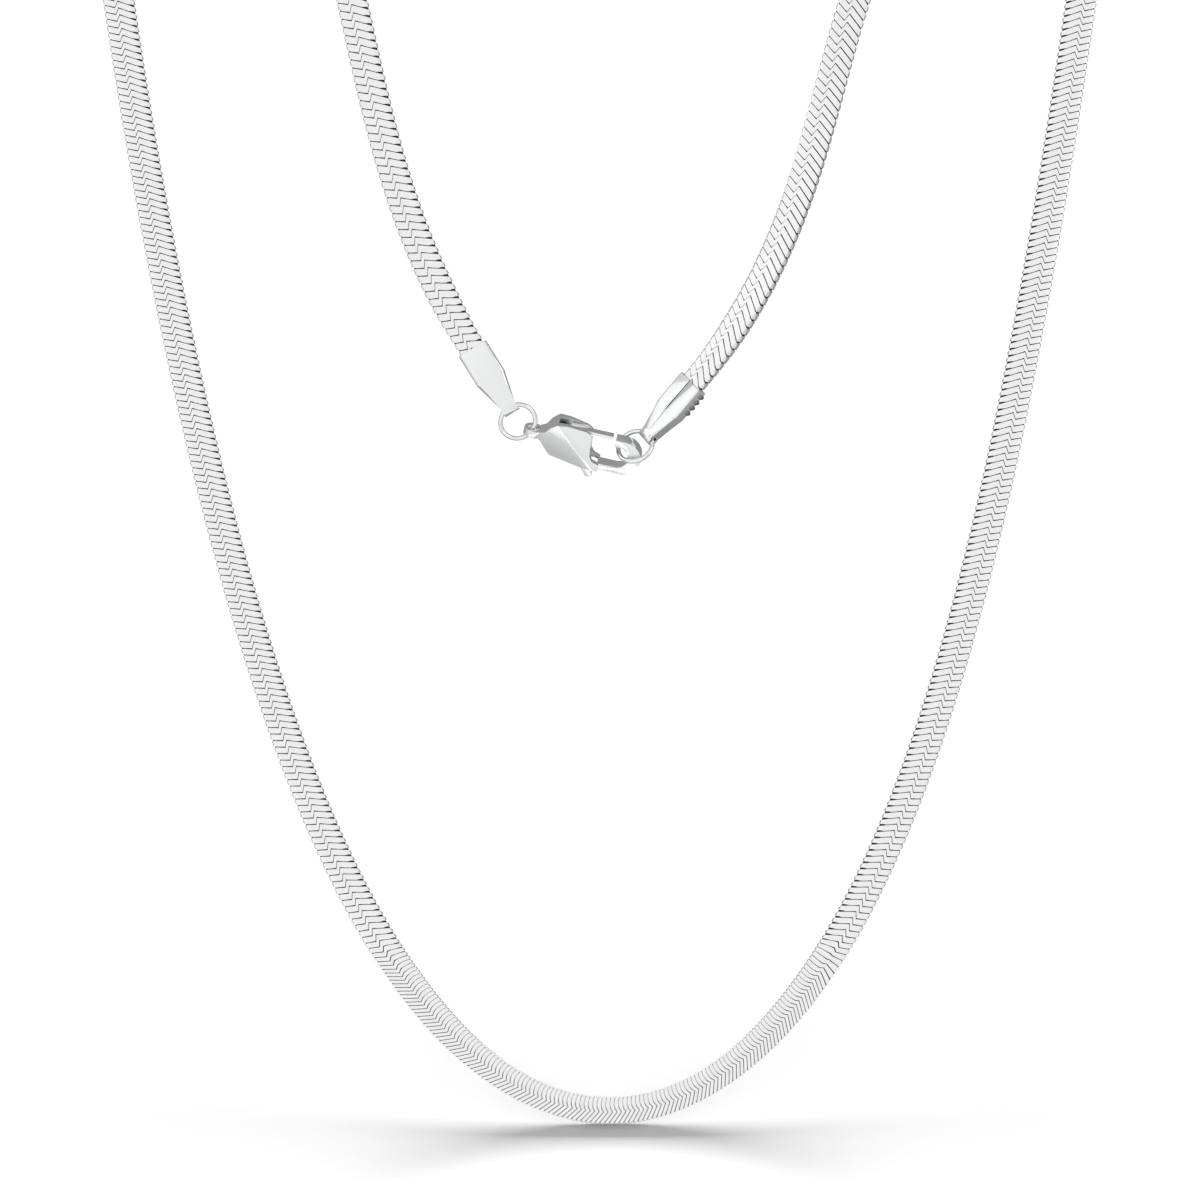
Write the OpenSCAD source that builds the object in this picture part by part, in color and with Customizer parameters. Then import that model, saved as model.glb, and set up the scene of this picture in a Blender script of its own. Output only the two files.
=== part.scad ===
// Herringbone necklace with folded end caps and a lobster clasp, shown as it hangs.
// It hangs over a round rest such as a display bar or the roll of a neck stand. The origin is where the
// top of that rest touches the chain, halfway between the two strands. The front faces -Y, +X is to the
// right as seen from the front, and +Z is up. All sizes are in millimetres.

/* [Chain] */
// Width of the flat face of the chain
chain_w = 3.4; // [3:0.1:3.6]
// Width to which the chain narrows where a cap grips it
grip_w = 3; // [2.8:0.05:3]
// Length over which it narrows above a cap
narrowing = 7; // [3:0.5:12]
// Thickness of the chain
chain_t = 1.1; // [0.8:0.05:1.1]
// Diameter of the round rest that the chain hangs over
rest_d = 31; // [28:0.5:34]
// Straight rise from the top of the open front loop to the axis of the rest
rest_rise = 13; // [10:0.5:20]

/* [Front loop] */
// Height of the front loop, from its lowest point to where the strands rise straight
front_h = 120.7; // [100:0.1:140]
// Radius of the curve at the lowest point
bottom_r = 18.7; // [15:0.1:24]
// Height over which the loop changes from a round bottom to flaring sides
flare_h = 80; // [60:1:120]
// How strongly the sides straighten above that height
flare_power = 0.545; // [0.45:0.005:0.65]
// How far to the right of the middle the lowest point hangs
front_drift = 1.1; // [-2:0.1:2]
// Width of the chain at the lowest point, where its bend crowds the links together
bottom_w = 3; // [2.8:0.05:3.2]
// Height over which it widens again
widening = 15; // [8:0.5:25]

/* [Back loop] */
// Distance of each back strand from the middle, at the top of the loop
back_x = 27.4; // [25:0.1:30]
// How far to the right of the middle the back loop hangs there
back_drift = 0.35; // [-1:0.05:1]
// Inward lean of the left back strand at the top of the loop, as a slope
left_lean = 0.22; // [0.2:0.01:0.3]
// Inward lean of the right back strand at the top of the loop, as a slope
right_lean = 0.31; // [0.2:0.01:0.34]

/* [End caps] */
// Length of an end cap from its mouth to the end of its fold
cap_l = 8.35; // [7.5:0.05:9]
// Thickness of the folded sheet
cap_sheet = 0.2; // [0.15:0.01:0.22]
// Play between the chain and the inside of a cap, on each side
cap_play = 0.05; // [0.03:0.01:0.08]
// Depth to which the chain reaches into a cap
cap_grip = 2.6; // [1.5:0.1:3]
// Width of a cap at its fold
cap_neck_w = 1.8; // [1.6:0.05:2]
// Width of the open seam down the back of a cap
seam_w = 0.12; // [0.08:0.01:0.2]

/* [Jump rings] */
// Outer diameter of a jump ring
ring_d = 4.4; // [4.3:0.05:4.45]
// Wire diameter of a jump ring
ring_wire = 0.5; // [0.4:0.02:0.52]

/* [Clasp] */
// Thickness of the clasp across its two cheeks, on the ridge
clasp_t = 3.1; // [2.9:0.05:3.3]
// Thickness of the hook
hook_t = 1.7; // [1.5:0.05:1.7]
// Thickness of the lever
lever_t = 1; // [0.8:0.02:1.04]
// Play beside the lever, on each side
lever_play = 0.15; // [0.1:0.01:0.2]
// Diameter of the rivet that the lever turns on
rivet_d = 0.9; // [0.7:0.02:0.94]
// Play between the rivet and the lever's hole, all round
rivet_play = 0.05; // [0.03:0.01:0.08]

/* [Hidden] */
fn_wire = 32;
fn_curve = 64;
eps = 0.01;
silver = [0.86, 0.86, 0.87];
polished = [0.74, 0.75, 0.77];

// Heights. The chain's middle line runs half its thickness outside the rest.
mid_r = rest_d / 2 + chain_t / 2;
axis_z = -rest_d / 2;
loop_z = axis_z - rest_rise;
over_l = 2 * rest_rise + PI * mid_r;

// End cap sizes. A cap's own frame has its fold along X at the origin and its mouth up at +Z.
cap_half_w = grip_w / 2 + cap_play + cap_sheet;
cap_half_t = chain_t / 2 + cap_play + cap_sheet;
fold_bore_r = 0.425;
fold_r = fold_bore_r + cap_sheet;
cap_reach = cap_l - fold_r;
cap_knee_z = cap_reach - 3.9;
ring_r = (ring_d - ring_wire) / 2;
ring_sit = 0.11;

// Where each cap's fold lies: [place, lean in the front view, tilt in depth, turn about its own length,
// swing of its jump ring]
at = 0;
lean = 1;
tilt = 2;
turn = 3;
swing = 4;
left_cap = [[-9.9, mid_r, -72.7], -32, 0, 0, 22];
right_cap = [[5.31, 17.23, -75.74], 40.3, 10, -37, -20];

// Where the clasp lies: the middle of its eye's end, its slope along its length and its roll about it.
clasp_at = [-8.37, 17.4, -75.17];
clasp_slope = 13;
clasp_roll = 28;

// Vector helpers
function unit(v) = v / norm(v);
function tilted(v, a) = [v[0], v[1] * cos(a) - v[2] * sin(a), v[1] * sin(a) + v[2] * cos(a)];
function leaned(v, a) = [v[0] * cos(a) + v[2] * sin(a), v[1], v[2] * cos(a) - v[0] * sin(a)];
function cap_mouth(cap) = cap[at] + cap_reach * leaned(tilted([0, 0, 1], cap[tilt]), cap[lean]);
function cap_inward(cap) = -leaned(tilted([0, 0, 1], cap[tilt]), cap[lean]);
function ease(t) = t * t * (3 - 2 * t);
function hermite(a, b, slope_a, slope_b, l, t) =
    a * (1 - ease(t)) + b * ease(t)
    + slope_a * l * t * (1 - t) * (1 - t) - slope_b * l * t * t * (1 - t);

// Half width of the front loop at a height above its lowest point: a round bottom that flares out.
function front_x(h) = sqrt(2 * bottom_r * h / pow(1 + h / flare_h, flare_power));
front_top_x = front_x(front_h);
front_top_lean = front_x(front_h) - front_x(front_h - 1);
function front_middle(h) = front_drift * (1 - ease(h / front_h));
function front_w(h) = bottom_w + (chain_w - bottom_w) * ease(min(1, h / widening));

// A station on the route is [point, outward normal, roll about the route, direction, chain width].
// The direction is left undefined where it follows from the neighbouring points.
front_steps = 40;
over_steps = 26;
back_steps = 14;
tail_steps = 2;
function front_station(side, h) =
    [[side * front_x(h) + front_middle(h), -mid_r, loop_z - front_h + h],
     [0, -1, 0], 0, h == 0 ? [side, 0, 0] : undef, front_w(h)];
function over_station(side, in_lean, t) =
    let (x = side * hermite(front_top_x, back_x + side * back_drift, front_top_lean, -in_lean, over_l, t),
         s = t * over_l - rest_rise,
         a = min(180, max(0, s / mid_r * 180 / PI)),
         drop = max(0, -s, s - PI * mid_r))
    [[x, -mid_r * cos(a), axis_z + mid_r * sin(a) - drop], [0, -cos(a), sin(a)], 0, undef, chain_w];
function back_station(side, in_lean, cap, t) =
    let (end = cap_mouth(cap), way = cap_inward(cap), l = loop_z - end[2])
    [[hermite(side * back_x + back_drift, end[0], -side * in_lean, -way[0] / way[2], l, t),
      hermite(mid_r, end[1], 0, -way[1] / way[2], l, t), loop_z - t * l],
     [0, 1, 0], -cap[turn] * ease(t), t == 1 ? way : undef,
     chain_w + (grip_w - chain_w) * ease(max(0, 1 - (1 - t) * l / narrowing))];
function tail_station(cap, t) =
    [cap_mouth(cap) + t * cap_grip * cap_inward(cap), [0, 1, 0], -cap[turn], cap_inward(cap), grip_w];
function route(side, in_lean, cap) = concat(
    [for (i = [0 : front_steps]) front_station(side, front_h * pow(i / front_steps, 2))],
    [for (i = [1 : over_steps - 1]) over_station(side, in_lean, i / over_steps)],
    [for (i = [0 : back_steps]) back_station(side, in_lean, cap, i / back_steps)],
    [for (i = [1 : tail_steps]) tail_station(cap, i / tail_steps)]);

// Cross-section of the flat chain: half width and half thickness shares of a softly rounded bar.
edge_shares = [[1, 0.4], [0.95, 0.68], [0.82, 0.86], [0.5, 0.96]];
last = len(edge_shares) - 1;
band_section = concat(
    edge_shares,
    [for (i = [last : -1 : 0]) [-edge_shares[i][0], edge_shares[i][1]]],
    [for (i = [0 : last]) -edge_shares[i]],
    [for (i = [last : -1 : 0]) [edge_shares[i][0], -edge_shares[i][1]]]);

// One ring of points across the chain at station i.
function station_way(stations, i) =
    is_undef(stations[i][3]) ? unit(stations[i + 1][0] - stations[i - 1][0]) : stations[i][3];
function station_ring(stations, i) =
    let (way = station_way(stations, i),
         across = unit(cross(stations[i][1], way)),
         out = cross(way, across),
         roll = stations[i][2],
         w = stations[i][4] / 2 * (across * cos(roll) + out * sin(roll)),
         t = chain_t / 2 * (out * cos(roll) - across * sin(roll)))
    [for (p = band_section) stations[i][0] + p[0] * w + p[1] * t];

module swept_band(stations) {
    m = len(band_section);
    n = len(stations);
    points = [for (i = [0 : n - 1]) each station_ring(stations, i)];
    sides = [for (i = [0 : n - 2], k = [0 : m - 1]) let (j = (k + 1) % m)
        each [[i * m + k, (i + 1) * m + k, (i + 1) * m + j], [i * m + k, (i + 1) * m + j, i * m + j]]];
    first_end = [for (k = [0 : m - 1]) k];
    last_end = [for (k = [m - 1 : -1 : 0]) (n - 1) * m + k];
    polyhedron(points = points, faces = concat([first_end, last_end], sides), convexity = 8);
}

module chain_left() {
    color(silver) swept_band(route(-1, left_lean, left_cap));
}

module chain_right() {
    color(silver) swept_band(route(1, right_lean, right_cap));
}

module place_cap(cap) {
    translate(cap[at]) rotate([cap[tilt], cap[lean], 0]) rotate([0, 0, cap[turn]]) children();
}

// Solid with one outline seen from the front and another seen from the side, both running up Z.
module two_way(front, side, reach) {
    intersection() {
        translate([0, reach, 0]) rotate([90, 0, 0]) linear_extrude(2 * reach) polygon(front);
        rotate([90, 0, 90]) translate([0, 0, -reach]) linear_extrude(2 * reach) polygon(side);
    }
}

// Mirror-image outline through a list of [half width, height] pairs, from the bottom up.
function outline(pairs) = concat(pairs, [for (i = [len(pairs) - 1 : -1 : 0]) [-pairs[i][0], pairs[i][1]]]);

// Folded sheet cap: a flat box round the chain's end, tapering to a tunnel for the jump ring.
module end_cap() {
    inner_w = cap_half_w - cap_sheet;
    inner_t = cap_half_t - cap_sheet;
    neck = cap_neck_w / 2;
    neck_z = 0.5;
    floor_z = fold_r + cap_sheet;
    difference() {
        union() {
            two_way(outline([[neck, 0], [neck, neck_z], [cap_half_w, cap_knee_z], [cap_half_w, cap_reach]]),
                    outline([[fold_r, 0], [cap_half_t, cap_knee_z], [cap_half_t, cap_reach]]), 5);
            rotate([0, 90, 0]) cylinder(r = fold_r, h = cap_neck_w, center = true, $fn = fn_wire);
        }
        rotate([0, 90, 0]) cylinder(r = fold_bore_r, h = cap_neck_w + 1, center = true, $fn = fn_wire);
        two_way(outline([[neck - cap_sheet, floor_z], [inner_w, cap_knee_z], [inner_w, cap_reach + 1]]),
                outline([[fold_bore_r, floor_z], [inner_t, cap_knee_z], [inner_t, cap_reach + 1]]), 5);
        translate([-seam_w / 2, inner_t - eps, floor_z]) cube([seam_w, cap_half_t, cap_l]);
    }
}

module end_cap_left() {
    color(polished) place_cap(left_cap) end_cap();
}

// The right cap is crimped on with its seam to the front.
module end_cap_right() {
    color(polished) place_cap(right_cap) rotate([0, 0, 180]) end_cap();
}

// A jump ring hangs in the fold of its cap and swings about it.
module jump_ring(cap) {
    place_cap(cap) rotate([cap[swing], 0, 0]) translate([0, 0, ring_sit - ring_r]) rotate([90, 0, 0])
        rotate_extrude($fn = fn_curve) translate([ring_r, 0]) circle(d = ring_wire, $fn = fn_wire);
}

module jump_ring_left() {
    color(polished) jump_ring(left_cap);
}

module jump_ring_right() {
    color(polished) jump_ring(right_cap);
}

// The clasp's own frame: X along its length from the eye to the nose, Y up to the gate, Z across it.
pivot = [5.4, 0.5];
ridge = [5.4, 0.5];
ridge_angle = -45;
facet_angle = 12;
eye = [1.05, 0.3];
eye_hole_r = 0.7;
eye_rim = 0.38;
eye_t = 0.8;
nose = [11.27, -0.17];
nose_r = 1.98;
bay = [10.6, -0.2];
bay_r = 1.25;
hook_root_x = 7.4;
tip_x = 10.1;
slot_t = lever_t + 2 * lever_play;

module place_clasp() {
    translate(clasp_at) rotate([90 + clasp_roll, clasp_slope, 0]) children();
}

module plate(thickness) {
    translate([0, 0, -thickness / 2]) linear_extrude(thickness) children();
}

module cheek_outline() {
    polygon([[1.7, 0.7], [2.3, 0.95], [2.8, 1.75], [3.5, 2.32], [4.7, 2.4], [6.8, 2.12], [7.4, 1.75],
             [7.65, -0.6], [8, -1.15], [8.8, -1.45], [8.8, -2.15], [7, -2.16], [3.3, -1.75],
             [2.6, -1.05], [2.05, -0.35], [1.7, -0.1]]);
}

module hook_outline() {
    difference() {
        union() {
            translate(nose) circle(nose_r, $fn = fn_curve);
            translate([hook_root_x, nose[1] - nose_r]) square([nose[0] - hook_root_x, 2 * nose_r]);
        }
        translate(bay) circle(bay_r, $fn = fn_curve);
        translate([hook_root_x - 1, bay[1] - bay_r]) square([bay[0] - hook_root_x + 1, 2 * bay_r]);
        translate([hook_root_x - 1, 0]) square([tip_x - hook_root_x + 1, 3]);
    }
}

// Two sloping facets meet on each cheek's diagonal ridge.
module facet_cuts() {
    big = 20;
    for (face = [0, 1], half = [0, 1])
        mirror([0, 0, face]) translate([ridge[0], ridge[1], clasp_t / 2]) rotate([0, 0, ridge_angle])
            mirror([0, half, 0]) rotate([-facet_angle, 0, 0]) translate([-big / 2, 0, 0]) cube(big);
}

module lever_slot() {
    plate(slot_t)
        polygon([[3.6, 4], [3.6, -1.1], [5.1, -1.3], [5.1, -4], [8.65, -4], [8.65, 4]]);
}

module eye_shape(r, h) {
    translate([eye[0], eye[1], 0]) rotate([90, 0, 0]) cylinder(r = r, h = h, center = true, $fn = fn_curve);
}

module clasp_body() {
    color(polished) place_clasp() {
        difference() {
            union() {
                difference() {
                    plate(clasp_t) cheek_outline();
                    facet_cuts();
                }
                plate(hook_t) hook_outline();
                eye_shape(eye_hole_r + eye_rim, eye_t);
            }
            lever_slot();
            eye_shape(eye_hole_r, 2 * eye_t);
        }
        translate([pivot[0], pivot[1], 0]) cylinder(d = rivet_d, h = clasp_t - 0.4, center = true, $fn = fn_curve);
    }
}

// Gate and thumb trigger in one plate that turns on the rivet.
module clasp_lever() {
    color(polished) place_clasp() difference() {
        plate(lever_t)
            polygon([[9.75, 2], [5, 1.95], [4.5, 1.2], [4.6, -0.2], [5.4, -0.5], [6.1, -1], [6.6, -2.2],
                     [7.3, -3], [7.6, -3.5], [8.2, -3.5], [8.35, -3.1], [8.2, -2.6], [7.5, -1.6],
                     [7, -0.4], [7.15, 0.7], [7.5, 1.5], [9.75, 1.62]]);
        translate([pivot[0], pivot[1], 0])
            cylinder(d = rivet_d + 2 * rivet_play, h = 2 * lever_t, center = true, $fn = fn_curve);
    }
}

chain_left();
chain_right();
end_cap_left();
end_cap_right();
jump_ring_left();
jump_ring_right();
clasp_body();
clasp_lever();
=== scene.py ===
# %% [markdown]
# # A herringbone necklace
# A herringbone chain is made from hundreds of small bent links that are laced side by side and then
# rolled flat, so that the finished chain drapes like a ribbon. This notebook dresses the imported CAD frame
# of such a necklace: it draws the real links, softens the caps, rings and clasp, and lights the whole as
# a product picture. The frame comes first, because every piece is placed by it.

# %% Load the frame
import math

import bmesh
import bpy
import numpy as np
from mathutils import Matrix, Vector


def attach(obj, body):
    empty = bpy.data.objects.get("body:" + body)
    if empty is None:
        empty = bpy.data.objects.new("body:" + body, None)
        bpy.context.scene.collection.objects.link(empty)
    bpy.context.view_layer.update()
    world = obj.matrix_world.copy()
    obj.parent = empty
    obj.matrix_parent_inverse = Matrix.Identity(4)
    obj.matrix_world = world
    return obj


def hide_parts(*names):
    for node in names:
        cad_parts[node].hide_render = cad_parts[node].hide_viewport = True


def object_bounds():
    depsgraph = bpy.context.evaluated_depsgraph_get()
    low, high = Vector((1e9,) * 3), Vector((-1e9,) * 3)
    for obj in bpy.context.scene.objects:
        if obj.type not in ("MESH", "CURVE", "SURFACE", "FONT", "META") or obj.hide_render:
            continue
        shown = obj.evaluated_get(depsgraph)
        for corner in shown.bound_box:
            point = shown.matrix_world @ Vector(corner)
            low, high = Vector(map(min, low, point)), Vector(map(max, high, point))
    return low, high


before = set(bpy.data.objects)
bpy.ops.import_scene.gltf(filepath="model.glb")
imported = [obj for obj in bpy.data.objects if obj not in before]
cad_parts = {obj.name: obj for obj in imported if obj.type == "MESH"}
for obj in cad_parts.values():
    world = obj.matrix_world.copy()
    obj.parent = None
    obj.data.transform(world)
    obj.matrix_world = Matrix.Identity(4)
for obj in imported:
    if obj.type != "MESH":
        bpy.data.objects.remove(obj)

cad_box = [list(corner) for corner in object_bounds()]
print("nodes:", sorted(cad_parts))
print("CAD box in mm:", np.round(np.array(cad_box) * 1000, 1).tolist())

# %% [markdown]
# ## The route of the chain
# The chain hangs over a round rest in two strands. In front they meet in an open loop, and behind they
# come together at the clasp. The route is the frame's own, written again here as formulas, so the links
# lie exactly where the CAD band lies. A route is a set of stations, each with a place, an outward
# direction, a roll about the route and a width.

# %% Driving sizes in millimetres
MM = 0.001
chain_w = 3.4
grip_w = 3.0
narrowing = 7.0
bottom_w = 3.0
widening = 15.0
chain_t = 1.1
rest_d = 31.0
rest_rise = 13.0
front_h = 120.7
bottom_r = 18.7
flare_h = 80.0
flare_power = 0.545
front_drift = 1.1
back_x = 27.4
back_drift = 0.35
left_lean = 0.22
right_lean = 0.31
cap_reach = 7.725
cap_grip = 2.6
cap_half_w = 1.75
ring_d = 4.4
ring_wire = 0.5
ring_sit = 0.11
stations_per_step = 8
front_stations = 40 * stations_per_step
over_stations = 26 * stations_per_step
back_stations = 14 * stations_per_step
tail_stations = 2 * stations_per_step

mid_r = rest_d / 2 + chain_t / 2
axis_z = -rest_d / 2
loop_z = axis_z - rest_rise
over_l = 2 * rest_rise + math.pi * mid_r

left_cap = {"at": (-9.9, mid_r, -72.7), "lean": -32, "tilt": 0, "turn": 0, "swing": 22}
right_cap = {"at": (5.31, 17.23, -75.74), "lean": 40.3, "tilt": 10, "turn": -37, "swing": -20}
print("stretch over the rest:", round(over_l, 1), "mm")


# %% Route formulas
def ease(t):
    """A smooth step: 0 at t = 0, 1 at t = 1, level at both ends."""
    t = np.clip(t, 0, 1)
    return t * t * (3 - 2 * t)


def hermite(a, b, slope_a, slope_b, length, t):
    """A cubic from a to b over a length, leaving and arriving at the given slopes."""
    return (a * (1 - ease(t)) + b * ease(t)
            + slope_a * length * t * (1 - t) ** 2 - slope_b * length * t * t * (1 - t))


def front_half_width(h):
    """Half width of the front loop at height h: a round bottom, root(2 r h), that flares out slower."""
    return np.sqrt(2 * bottom_r * h / (1 + h / flare_h) ** flare_power)


def cap_axis(cap):
    """Direction from a cap's fold to its mouth: up, tilted about X and then leaned about Y."""
    tilt, lean = math.radians(cap["tilt"]), math.radians(cap["lean"])
    return np.array([math.sin(lean) * math.cos(tilt), -math.sin(tilt), math.cos(lean) * math.cos(tilt)])


def half_route(side, lean, cap):
    """Half the chain, from the bottom of the loop to a cap, as rows of x, y, z, outward, roll and width."""
    h = front_h * np.linspace(0, 1, front_stations + 1) ** 2
    front = np.stack([side * front_half_width(h) + front_drift * (1 - ease(h / front_h)), 0 * h - mid_r,
                      loop_z - front_h + h, 0 * h, 0 * h - 1, 0 * h, 0 * h,
                      bottom_w + (chain_w - bottom_w) * ease(h / widening)], axis=1)
    top_x = front_half_width(front_h)
    top_lean = top_x - front_half_width(front_h - 1)
    t = np.linspace(0, 1, over_stations + 1)[1:-1]
    s = t * over_l - rest_rise
    a = np.clip(s / mid_r, 0, math.pi)
    drop = np.maximum(0, np.maximum(-s, s - math.pi * mid_r))
    over = np.stack([side * hermite(top_x, back_x + side * back_drift, top_lean, -lean, over_l, t),
                     -mid_r * np.cos(a), axis_z + mid_r * np.sin(a) - drop,
                     0 * t, -np.cos(a), np.sin(a), 0 * t, 0 * t + chain_w], axis=1)
    way = -cap_axis(cap)
    mouth = np.array(cap["at"]) - cap_reach * way
    length = loop_z - mouth[2]
    t = np.linspace(0, 1, back_stations + 1)
    back = np.stack([hermite(side * back_x + back_drift, mouth[0], -side * lean, -way[0] / way[2], length, t),
                     hermite(mid_r, mouth[1], 0, -way[1] / way[2], length, t), loop_z - t * length,
                     0 * t, 0 * t + 1, 0 * t, -cap["turn"] * ease(t),
                     chain_w + (grip_w - chain_w) * ease(1 - (1 - t) * length / narrowing)], axis=1)
    t = np.linspace(0, 1, tail_stations + 1)[1:, None]
    tail = np.hstack([mouth + t * cap_grip * way, 0 * t, 0 * t + 1, 0 * t,
                      0 * t - cap["turn"], 0 * t + grip_w])
    return np.vstack([front, over, back, tail])


def unit(v):
    """The same directions with length one."""
    return v / np.linalg.norm(v, axis=-1, keepdims=True)


# %% Join the two halves into one route
left_half = half_route(-1, left_lean, left_cap)
right_half = half_route(1, right_lean, right_cap)
stations = np.vstack([left_half[:0:-1], right_half])
place = stations[:, :3]
run = np.concatenate([[0], np.cumsum(np.linalg.norm(np.diff(place, axis=0), axis=1))])
run -= run[len(left_half) - 1]
way = unit(np.gradient(place, run, axis=0))
inward = unit(np.cross(stations[:, 3:6], way))
outward = np.cross(way, inward)
roll = np.radians(stations[:, 6:7]) * (run[:, None] > 0)
inward, outward = (inward * np.cos(roll) + outward * np.sin(roll),
                   outward * np.cos(roll) - inward * np.sin(roll))
width = stations[:, 7]
print("chain length:", round(run[-1] - run[0], 1), "mm, width", width.min(), "to", width.max(), "mm")


def along_chain(s, u, n):
    """A point of the chain: the route's place at run s, plus u towards the inner edge and n outward."""
    def read(rows):
        return np.stack([np.interp(s, run, rows[:, i]) for i in range(3)], axis=-1)
    return read(place) + u[..., None] * read(inward) + n[..., None] * read(outward)


# %% [markdown]
# ## From numbers to a mesh
# Each new piece is worked out as whole arrays of points and faces, and then handed to Blender in one go.
# That is quick, and it keeps the shape readable as a formula. Every piece rides on a body of the frame,
# and it says which CAD node it stands for.

# %% Mesh helpers
def facing_out(points, quads):
    """The same faces, all turned over when the volume they enclose comes out negative."""
    a, b, c, _ = (points[quads[:, i]] for i in range(4))
    return quads if np.einsum("ij,ij->i", a, np.cross(b, c)).sum() > 0 else quads[:, ::-1]


def make_piece(name, points, quads, material, nodes, body="necklace", smooth=None):
    """A mesh object from points in millimetres and four-cornered faces, placed in its own vertices."""
    quads = facing_out(points, quads)
    mesh = bpy.data.meshes.new(name)
    mesh.vertices.add(len(points))
    mesh.vertices.foreach_set("co", (points * MM).astype(np.float32).ravel())
    mesh.loops.add(quads.size)
    mesh.loops.foreach_set("vertex_index", quads.astype(np.int32).ravel())
    mesh.polygons.add(len(quads))
    mesh.polygons.foreach_set("loop_start", np.arange(0, quads.size, 4, dtype=np.int32))
    mesh.polygons.foreach_set("use_smooth", np.ones(len(quads), bool) if smooth is None else smooth)
    mesh.update(calc_edges=True)
    mesh.validate()
    piece = bpy.data.objects.new(name, mesh)
    bpy.context.scene.collection.objects.link(piece)
    mesh.materials.append(material)
    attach(piece, body)
    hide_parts(*nodes)
    print(name, "-", len(quads), "faces")


def tube_quads(rings, sides, first=0):
    """Faces of a tube with that many rings of that many sides, closed at both ends by strips."""
    ring, k = np.meshgrid(np.arange(rings - 1), np.arange(sides), indexing="ij")
    j = (k + 1) % sides
    near, far = ring * sides, (ring + 1) * sides
    wall = np.stack([near + k, near + j, far + j, far + k], axis=-1)
    low = np.arange(sides // 2 - 1)
    end = np.stack([low, sides - 1 - low, sides - 2 - low, low + 1], axis=-1)
    last = end[:, ::-1] + (rings - 1) * sides
    return np.vstack([wall.reshape(-1, 4), end, last]) + first


# %% [markdown]
# ## Metals
# The necklace is silver-coloured metal throughout. The links have been through rolls and then barrel
# polished, which leaves them bright but satin, while the cast and stamped parts of the clasp are buffed
# to a mirror. One function adds a node with its settings and links, and one turns a hex colour to linear.

# %% Material helpers
def srgb(hex_colour):
    """A linear colour from an sRGB hex value, by the sRGB curve."""
    c = np.array([int(hex_colour[i:i + 2], 16) / 255 for i in (1, 3, 5)])
    linear = np.where(c <= 0.04045, c / 12.92, ((c + 0.055) / 1.055) ** 2.4)
    return (*linear, 1.0)


def add_node(tree, kind, settings=None, links=None):
    """One shader node with its settings (attributes or input values) and links (input: node, output)."""
    node = tree.nodes.new(kind)
    for key, value in (settings or {}).items():
        if key in node.inputs:
            node.inputs[key].default_value = value
        else:
            setattr(node, key, value)
    for key, (source, output) in (links or {}).items():
        tree.links.new(source.outputs[output], node.inputs[key])
    return node


def metal(name, colour, low, high, mottle_mm, scratch_mm, depth_mm):
    """A metal with soft patches and scratches: roughness low to high, their spacing and depth in mm."""
    material = bpy.data.materials.new(name)
    material.use_nodes = True
    tree = material.node_tree
    tree.nodes.clear()
    where = add_node(tree, "ShaderNodeTexCoord")
    patches = add_node(tree, "ShaderNodeTexNoise", {"Scale": 1 / (mottle_mm * MM), "Detail": 3},
                       {"Vector": (where, "Object")})
    rough = add_node(tree, "ShaderNodeMapRange",
                     {"From Min": 0.3, "From Max": 0.7, "To Min": low, "To Max": high},
                     {"Value": (patches, "Fac")})
    scratches = add_node(tree, "ShaderNodeTexNoise",
                         {"Scale": 1 / (scratch_mm * MM), "Detail": 4, "Roughness": 0.6},
                         {"Vector": (where, "Object")})
    bump = add_node(tree, "ShaderNodeBump", {"Strength": 0.6, "Distance": depth_mm * MM},
                    {"Height": (scratches, "Fac")})
    shader = add_node(tree, "ShaderNodeBsdfPrincipled", {"Base Color": srgb(colour), "Metallic": 1.0},
                      {"Roughness": (rough, "Result"), "Normal": (bump, "Normal")})
    add_node(tree, "ShaderNodeOutputMaterial", None, {"Surface": (shader, "BSDF")})
    return material


# %% Make the metals
# Sterling silver rolled flat: near white, with a satin haze from the rolls and barrel.
rolled_silver = metal("rolled_sterling_silver", "#f1f1f1", 0.24, 0.34, 0.9, 0.12, 0.004)
# Painted shade: dull silver coloured dark, for the band between the links, standing in for the shade there.
painted_shade_silver = metal("painted_shade_dark_silver", "#39393a", 0.5, 0.65, 0.6, 0.1, 0.004)
# Cast and stamped silver, buffed: a clear mirror with only hairlines.
buffed_silver = metal("buffed_sterling_silver", "#edeeee", 0.07, 0.14, 1.6, 0.25, 0.002)
# Silver pressed by the crimping tool after it was buffed: rougher than the sheet around it, and coloured a
# darker grey as painted shade of the pressed dents.
pressed_painted_shade_silver = metal("pressed_sterling_silver_painted_shade", "#8b8c8e", 0.28, 0.4, 0.5, 0.1, 0.003)
print("metals:", rolled_silver.name, painted_shade_silver.name, buffed_silver.name, pressed_painted_shade_silver.name)

# %% [markdown]
# ## The links
# Each link is a bar that crosses the whole chain. It slants forward from one edge, steps back at a
# shoulder before the middle, and slants forward again to a rounded end that leaves a small wedge-shaped
# gap beside it. Links are drawn one by one as lofts: a rounded section carried across the chain. Along
# the bottom of the loop the chain bends in its own plane, so the links crowd together and slant more.
# Where the pattern turns over, each link is only as wide as its neighbours leave room for.

# %% Where along the chain the pattern changes
strand_pitch = 0.75
bottom_pitch = 0.485
back_pitch = {"left": 0.91, "right": 0.94}
bottom_half_x = 24.8
bottom_blend, back_blend = 7.0, 50.0
front_half = slice(len(left_half), len(left_half) + front_stations)
bottom_run = np.interp(bottom_half_x, place[front_half, 0], run[front_half])
front_run = run[front_half][-1]
left_crest = -front_run - over_l / 2
right_crest = front_run + over_l / 2
print("bottom stretch to", round(bottom_run, 1), "mm, crests at", round(left_crest, 1), round(right_crest, 1))


def blend(s, centre, width):
    """0 well before the centre, 1 well after it, easing over the width."""
    return ease((s - centre) / width + 0.5)


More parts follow.
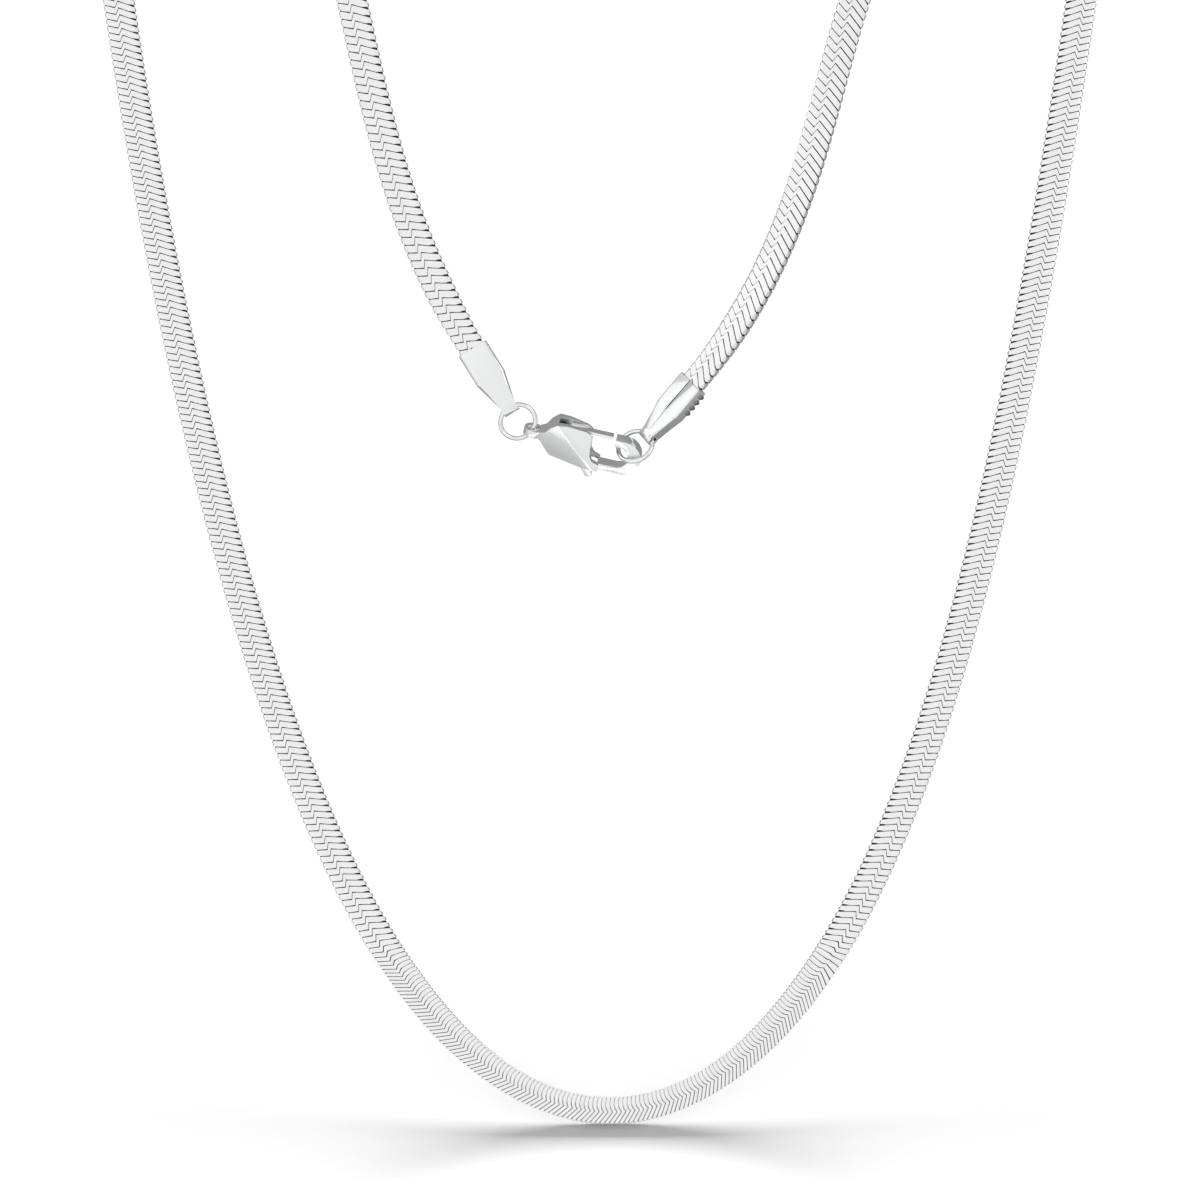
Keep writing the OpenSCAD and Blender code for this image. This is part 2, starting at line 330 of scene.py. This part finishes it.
def bottom_share(s):
    """1 along the bottom stretch of the loop and 0 on the strands."""
    return 1 - blend(np.abs(s), bottom_run, bottom_blend)


def pitch_at(s):
    """The length of chain one link takes up: short round the bottom, and longer behind than in front."""
    left = (back_pitch["left"] - strand_pitch) * (1 - blend(s, left_crest, back_blend))
    right = (back_pitch["right"] - strand_pitch) * blend(s, right_crest, back_blend)
    return strand_pitch + (bottom_pitch - strand_pitch) * bottom_share(s) + left + right


# %% Count out the links
steps = np.diff(run) / (0.5 * (pitch_at(run[1:]) + pitch_at(run[:-1])))
count = np.concatenate([[0], np.cumsum(steps)])
link_s = np.interp(np.arange(1, math.floor(count[-1])), count, run)
print("links:", len(link_s))


# %% The course of one link across the chain
outer_slant, bottom_outer_slant = np.tan(np.radians(21)), np.tan(np.radians(35))
inner_slant = np.tan(np.radians(28))
half_step = 0.055
bottom_turn, crest_turn, behind_blend = 4.8, 8.0, 12.0
outer_stations = np.array([0, 0.07, 0.3, 1.0])
inner_stations = np.array([0, 0.3, 0.55, 0.75, 0.93, 1.0])


def hand_at(s):
    """Which way the links lean, 1 or -1: it turns over at the bottom's right end and at the left crest."""
    return (1 - 2 * blend(s, bottom_run, bottom_turn)) * (2 * blend(s, left_crest, crest_turn) - 1)


def behind_share(s):
    """1 on the right back strand, where the shoulder lies further in, and 0 before it."""
    return blend(s, right_crest, behind_blend)


def link_course(s, pitch, across):
    """Stations f across each link and how far it runs ahead there: a slant, a step back, a second slant."""
    low, back = bottom_share(s), behind_share(s)
    shoulder = 0.40 + 0.10 * low + 0.18 * back
    slant_out = outer_slant + (bottom_outer_slant - outer_slant) * low + 0.34 * back
    slant_in = inner_slant * (1 - 0.85 * low) + 0.12 * back
    step = (0.9 - 0.45 * low) * pitch
    belly = 0.14 * low
    start, stop = (shoulder - half_step)[:, None], (shoulder + half_step)[:, None]
    f = np.hstack([outer_stations * start, stop + inner_stations * (1 - stop)])
    tau = np.clip((f - stop) / (1 - stop), 0, 1)
    course = (slant_out[:, None] * np.minimum(f - start, 0) * across
              - step[:, None] * np.clip((f - start) / (stop - start), 0, 1)
              + slant_in[:, None] * np.maximum(f - stop, 0) * across
              + belly[:, None] * 4 * tau * (tau - 1))
    return f, hand_at(s)[:, None] * (course + 0.5 * step[:, None]), shoulder[:, None]


# %% The width and thickness of one link
def link_widths(s, pitch, f, course, shoulder):
    """Half widths ahead of and behind a link's course: what its neighbours leave, less a gap and a wedge."""
    low, back, hand = bottom_share(s)[:, None], behind_share(s)[:, None], hand_at(s)[:, None]
    room = pitch[:, None] + np.gradient(course, axis=0)
    gap = 0.044 - 0.026 * low
    bar = 0.5 * (room - gap) - 0.06 * np.exp(-((f - shoulder) / 0.06) ** 2)
    wedge_in = ease((f - 0.74) / 0.2) * (1 - low) * (1 - back)
    wedge_out = ease((0.26 - f) / 0.2) * np.maximum(low, 0.45 * back)
    trim = 0.52 * bar * np.maximum(wedge_in, wedge_out) * hand ** 2
    lean = 0.5 + 0.5 * hand
    return bar - trim * lean * (1 - 0.5 * low), bar - trim * (1 - lean)


def link_thickness(s, edge):
    """Half thickness of a link at a distance from the chain's edge: full inside, rounded off at the edge."""
    rounding = 0.26 - 0.12 * bottom_share(s)[:, None]
    to_go = 1 - np.clip(edge / rounding, 0.0, 1)
    return 0.5 * chain_t * np.sqrt(np.clip(1 - to_go ** 2.2 * 0.88, 0, 1))


# %% The lofts of all the links
link_corner = np.array([[1, 0.7], [0.9, 1], [-0.9, 1], [-1, 0.7],
                        [-1, -0.7], [-0.9, -1], [0.9, -1], [1, -0.7]])
rolled_sides = (1, 5)


def link_lofts(s, pitch):
    """Points of every link at once, as an array of links by stations by section corners."""
    rng = np.random.default_rng(7)
    across = np.interp(s, run, width)[:, None]
    f, course, shoulder = link_course(s, pitch, across)
    wide_fore, wide_back = link_widths(s, pitch, f, course, shoulder)
    edge = np.minimum(f, 1 - f) * across
    narrow = 1 - 0.45 * (1 - np.clip(edge / 0.12, 0, 1))
    wide = np.where(link_corner[:, 0] > 0, wide_fore[..., None], wide_back[..., None])
    v = wide * link_corner[:, 0] * narrow[..., None]
    n = link_thickness(s, edge)[..., None] * link_corner[:, 1] * 0.985
    tilt = rng.normal(0, 0.02, len(s))[:, None, None]
    lift = rng.normal(0, 0.006, len(s))[:, None, None]
    u = ((f - 0.5) * across)[..., None] + 0 * v
    return along_chain(s[:, None, None] + course[..., None] + v, u, n + tilt * v + lift)


# %% Build the two halves from their links
lofts = link_lofts(link_s, pitch_at(link_s))
for half, mask in (("left", link_s < 0), ("right", link_s >= 0)):
    points = lofts[mask]
    links, rings, sides, _ = points.shape
    quads = np.vstack([tube_quads(rings, sides, i * rings * sides) for i in range(links)])
    k = np.arange(len(quads)) % (len(quads) // links)
    rolled_flat = (k < (rings - 1) * sides) & np.isin(k % sides, rolled_sides)
    make_piece("links_" + half, points.reshape(-1, 3), quads, rolled_silver, ["chain_" + half],
               smooth=~rolled_flat)

# %% [markdown]
# ## The shade between the links
# A real chain is dark between its links because light has to find its way through layers of metal. A slim
# dull band down the middle of the links, coloured dark as painted shade, gives the same depth, and closes the
# gaps to the light.

# %% Core band coloured as painted shade
core_corner = np.array([[1, 0.45], [0.93, 1], [-0.93, 1], [-1, 0.45],
                        [-1, -0.45], [-0.93, -1], [0.93, -1], [1, -0.45]])
core_stations = 440
core_end, core_side, core_face = 0.3, 0.13, 0.17
for half, mask in (("left", run <= 0), ("right", run >= 0)):
    ends = np.clip(run[mask][[0, -1]], run[0] + core_end, run[-1] - core_end)
    s = np.linspace(*ends, core_stations)
    s = s[:, None] + 0 * core_corner[None, :, 0]
    u = core_corner[:, 0] * (0.5 * np.interp(s, run, width) - core_side)
    n = 0 * s + core_corner[:, 1] * (0.5 * chain_t - core_face)
    quads = tube_quads(len(s), len(core_corner))
    points = along_chain(s, u, n).reshape(-1, 3)
    make_piece("shade_" + half, points, quads, painted_shade_silver, ["chain_" + half])

# %% [markdown]
# ## Caps, rings and clasp
# These were cast or stamped and then tumbled, so none of their edges is sharp. The CAD solids already
# have the right shape. A merged copy of each gets a small bevel that catches the light, as tumbling does.
# The caps are folded from sheet, so their four long edges get a larger radius first.

# %% Soften the small parts
fold_length_mm, fold_away_mm = 3.0, 1.2


def round_folds(shell, cap, radius_mm):
    """Round a cap's long convex edges that run along its axis and lie well away from it."""
    axis, foot = Vector(cap_axis(cap)), Vector(cap["at"]) * MM
    folds = []
    for edge in shell.edges:
        along = (edge.verts[1].co - edge.verts[0].co).normalized().dot(axis)
        out = 0.5 * (edge.verts[0].co + edge.verts[1].co) - foot
        away = (out - out.dot(axis) * axis).length
        is_long = edge.calc_length() > fold_length_mm * MM and abs(along) > 0.9
        if edge.is_convex and is_long and away > fold_away_mm * MM:
            folds.append(edge)
    bmesh.ops.bevel(shell, geom=folds, offset=radius_mm * MM, offset_type="OFFSET", segments=7, profile=0.5,
                    affect="EDGES", clamp_overlap=False)
    print("folds rounded:", len(folds))


def softened(node, name, radius_mm, body="necklace", cap=None, fold_mm=0.0):
    """A merged copy of a CAD node with its edges rounded to a radius, and a cap's folds to their own."""
    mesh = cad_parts[node].data.copy()
    shell = bmesh.new()
    shell.from_mesh(mesh)
    bmesh.ops.remove_doubles(shell, verts=shell.verts, dist=1e-6)
    bmesh.ops.dissolve_limit(shell, angle_limit=math.radians(1.0), verts=shell.verts, edges=shell.edges)
    if cap:
        round_folds(shell, cap, fold_mm)
    shell.to_mesh(mesh)
    shell.free()
    mesh.materials.clear()
    mesh.materials.append(buffed_silver)
    mesh.polygons.foreach_set("use_smooth", np.ones(len(mesh.polygons), bool))
    piece = bpy.data.objects.new(name, mesh)
    bpy.context.scene.collection.objects.link(piece)
    bevel = piece.modifiers.new("tumbled_edges", "BEVEL")
    bevel.width = radius_mm * MM
    bevel.segments = 3
    bevel.limit_method = "ANGLE"
    bevel.angle_limit = math.radians(15)
    bevel.harden_normals = True
    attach(piece, body)
    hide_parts(node)
    print(name, "-", len(mesh.polygons), "faces before the bevel")


softened("end_cap_left", "folded_cap_left", 0.09, cap=left_cap, fold_mm=0.42)
softened("end_cap_right", "folded_cap_right", 0.09, cap=right_cap, fold_mm=0.25)
softened("clasp_body", "cast_clasp_body", 0.09)
softened("clasp_lever", "cast_clasp_lever", 0.08, body="gate")

# %% [markdown]
# ## Jump rings
# A jump ring is round wire closed to a circle. It hangs in the fold of its cap and has swung to where the
# clasp pulls it. Drawn as a full torus it keeps a clean highlight all the way round.

# %% Draw the rings
def turned(points, axis, degrees):
    """Points turned about the X, Y or Z axis (0, 1 or 2) by a right-handed angle."""
    b, c = (axis + 1) % 3, (axis + 2) % 3
    cos, sin = math.cos(math.radians(degrees)), math.sin(math.radians(degrees))
    out = points.copy()
    out[..., b] = points[..., b] * cos - points[..., c] * sin
    out[..., c] = points[..., b] * sin + points[..., c] * cos
    return out


def place_at_cap(points, cap):
    """Points of a cap's own frame carried to where the cap hangs: turn, tilt, lean, then its place."""
    tilted = turned(turned(points, 2, cap["turn"]), 0, cap["tilt"])
    return turned(tilted, 1, cap["lean"]) + np.array(cap["at"])


def jump_ring(side, cap, around=96, sides=20):
    """A torus: a circle of wire carried round the ring's middle circle, hung in the cap's fold and swung."""
    middle_r, wire_r = 0.5 * (ring_d - ring_wire), 0.5 * ring_wire
    a, s = np.meshgrid(np.linspace(0, 2 * math.pi, around, endpoint=False),
                       np.linspace(0, 2 * math.pi, sides, endpoint=False), indexing="ij")
    r = middle_r + wire_r * np.cos(s)
    points = np.stack([r * np.cos(a), wire_r * np.sin(s), r * np.sin(a) + ring_sit - middle_r], axis=-1)
    points = place_at_cap(turned(points, 0, cap["swing"]), cap).reshape(-1, 3)
    i, k = np.meshgrid(np.arange(around), np.arange(sides), indexing="ij")
    near, far, k2 = i * sides, (i + 1) % around * sides, (k + 1) % sides
    quads = np.stack([near + k, near + k2, far + k2, far + k], axis=-1).reshape(-1, 4)
    make_piece("wire_ring_" + side, points, quads, buffed_silver, ["jump_ring_" + side])


jump_ring("left", left_cap)
jump_ring("right", right_cap)

# %% [markdown]
# ## Crimp marks
# Four small ridges stand on the outer side of the right cap, close to its mouth, where a tool pressed the
# folded sheet onto the chain. Their dark colour is painted shade of the pressed dents. Each one is a small
# ellipsoid, half sunk in the side wall, because only its rounded back ever shows.

# %% Press the crimp marks
def crimp_marks(side, cap, count=4, rings=9, sides=16):
    """Ellipsoids in a row: a circle carried from pole to pole, its radius the sine of the polar angle."""
    first, apart, near_pole = 7.15, 0.77, 0.1
    sunk, behind, half_x, half_y, half_z = 0.02, 0.45, 0.22, 0.50, 0.29
    height, t, a = np.meshgrid(first - apart * np.arange(count),
                               np.linspace(near_pole, math.pi - near_pole, rings),
                               np.linspace(0, 2 * math.pi, sides, endpoint=False), indexing="ij")
    x = cap_half_w - sunk + half_x * np.sin(t) * np.cos(a)
    y = behind + half_y * np.sin(t) * np.sin(a)
    points = place_at_cap(np.stack([x, y, height + half_z * np.cos(t)], axis=-1), cap).reshape(-1, 3)
    quads = np.vstack([tube_quads(rings, sides, i * rings * sides) for i in range(count)])
    make_piece("crimp_marks_" + side, points, quads, pressed_painted_shade_silver, ["end_cap_" + side])


crimp_marks("right", right_cap)

# %% [markdown]
# ## Studio
# The necklace hangs clear in front of a lit white panel that stands far behind it, so the metal's edges
# reflect the dim room and not the panel. A small card leans back from just under the loop, so the loop's
# contact shadow shows on it from straight ahead.

# %% Card and panel
def set_piece(name, points, rows, columns, material):
    i, j = np.meshgrid(np.arange(rows - 1), np.arange(columns - 1), indexing="ij")
    corner = (i * columns + j).ravel()
    quads = np.stack([corner, corner + 1, corner + 1 + columns, corner + columns], axis=1)
    mesh = bpy.data.meshes.new(name)
    mesh.from_pydata(points.tolist(), [], quads.tolist())
    mesh.polygons.foreach_set("use_smooth", np.ones(len(quads), bool))
    mesh.materials.append(material)
    sheet = bpy.data.objects.new(name, mesh)
    bpy.context.scene.collection.objects.link(sheet)


def plain_surface(name, kind, settings):
    """A material of one shader node with its settings."""
    material = bpy.data.materials.new(name)
    material.use_nodes = True
    tree = material.node_tree
    tree.nodes.clear()
    shader = add_node(tree, kind, settings)
    add_node(tree, "ShaderNodeOutputMaterial", None, {"Surface": (shader, 0)})
    return material


lowest = cad_box[0][2]
front_y = -mid_r * MM
view_w = 130.43 * MM
view_top = loop_z * MM
view_middle = view_top - 0.5 * view_w

slope = math.radians(55)
foot_r, card_length, card_half_w, card_gap = 0.05, 0.018, 0.10, 0.0007
card_z = lowest - card_gap
a = np.linspace(0, slope, 24)
foot = np.stack([front_y + foot_r * (np.sin(a) - math.sin(slope)),
                 foot_r * (math.cos(slope) - np.cos(a))], axis=1)
top = foot[-1] + card_length * np.array([math.cos(slope), math.sin(slope)])
profile = np.vstack([foot, [top]])
card_points = np.array([[x, y, z + card_z] for y, z in profile for x in (-card_half_w, card_half_w)])
# Matte light grey card, as used under small goods: it comes out just white under the overhead light.
card = plain_surface("matte_pale_card", "ShaderNodeBsdfDiffuse", {"Color": srgb("#b6b6b6")})
set_piece("leaning_card", card_points, len(profile), 2, card)

# Opal sheet lit from behind, even and just white.
opal = plain_surface("backlit_opal_sheet", "ShaderNodeEmission", {"Color": (1, 1, 1, 1), "Strength": 1.05})
panel_y, panel_below, panel_above, panel_half_w = 1.5, 0.16, 0.22, 0.16
panel_points = np.array([[x, panel_y, view_middle + z] for z in (-panel_below, panel_above)
                         for x in (-panel_half_w, panel_half_w)])
set_piece("backlit_panel", panel_points, 2, 2, opal)
print("card passes under the loop at z", round(card_z * 1000, 2), "mm")


# %% Lights
def softbox(name, place, target, size_x, size_y, watts):
    """A rectangular area light at a place, facing a target."""
    data = bpy.data.lights.new(name, "AREA")
    data.shape = "RECTANGLE"
    data.size = size_x
    data.size_y = size_y
    data.energy = watts
    light = bpy.data.objects.new(name, data)
    light.location = place
    light.rotation_euler = (Vector(target) - Vector(place)).to_track_quat("-Z", "Y").to_euler()
    bpy.context.scene.collection.objects.link(light)
    return light


middle = (0.0, 0.0, 0.5 * (cad_box[0][2] + cad_box[1][2]))
# The overhead softbox only lights the card: seen in polished metal, it would burn out every edge.
overhead = softbox("overhead_softbox", (0.0, front_y + 0.065, 0.61), (0.0, front_y, lowest),
                   0.50, 0.20, 16.2)
overhead.visible_glossy = False
softbox("left_softbox", (-0.80, -0.25, 0.32), middle, 0.5, 0.5, 0.28)
softbox("right_softbox", (0.90, -0.50, 0.10), middle, 0.3, 0.8, 1.15)


# %% Room: bright towards the front and the left, dim behind, so that metal has something dark to reflect
def room_share(tree, axes, axis, low, high, dim, bright):
    """A smooth step of the room's light along one axis: dim at low and bright at high."""
    return add_node(tree, "ShaderNodeMapRange",
                    {"interpolation_type": "SMOOTHSTEP", "From Min": low, "From Max": high, "To Min": dim,
                     "To Max": bright}, {"Value": (axes, axis)})


world = bpy.data.worlds.new("studio_room")
world.use_nodes = True
tree = world.node_tree
tree.nodes.clear()
way_out = add_node(tree, "ShaderNodeTexCoord")
axes = add_node(tree, "ShaderNodeSeparateXYZ", None, {"Vector": (way_out, "Generated")})
lit = room_share(tree, axes, "Y", 0.7, -0.9, 0.32, 0.95)
for share in (room_share(tree, axes, "Z", -0.45, -1.0, 1.0, 0.9),
              room_share(tree, axes, "X", 0.9, -0.9, 0.9, 1.14)):
    product = add_node(tree, "ShaderNodeMath", {"operation": "MULTIPLY"})
    tree.links.new(lit.outputs[0], product.inputs[0])
    tree.links.new(share.outputs[0], product.inputs[1])
    lit = product
glow = add_node(tree, "ShaderNodeBackground", {"Color": (1, 1, 1, 1)}, {"Strength": (lit, 0)})
add_node(tree, "ShaderNodeOutputWorld", None, {"Surface": (glow, "Background")})
bpy.context.scene.world = world
bpy.context.scene.view_settings.view_transform = "Standard"

# %% [markdown]
# ## Camera
# The picture was taken from straight ahead with a long lens, so nothing converges. The lens is worked
# out from how wide a strip of the front plane fills the frame.

# %% Camera
camera_away = 4.0
camera_data = bpy.data.cameras.new("studio_camera")
camera_data.sensor_width = 36.0
camera_data.lens = 36.0 * camera_away / view_w
camera_data.clip_end = 20.0
camera = bpy.data.objects.new("studio_camera", camera_data)
camera.location = (0.0, front_y - camera_away, view_middle)
camera.rotation_euler = (math.radians(90), 0, 0)
bpy.context.scene.collection.objects.link(camera)
bpy.context.scene.camera = camera
print("lens:", round(camera_data.lens), "mm")

# %% Finish
bpy.context.view_layer.update()
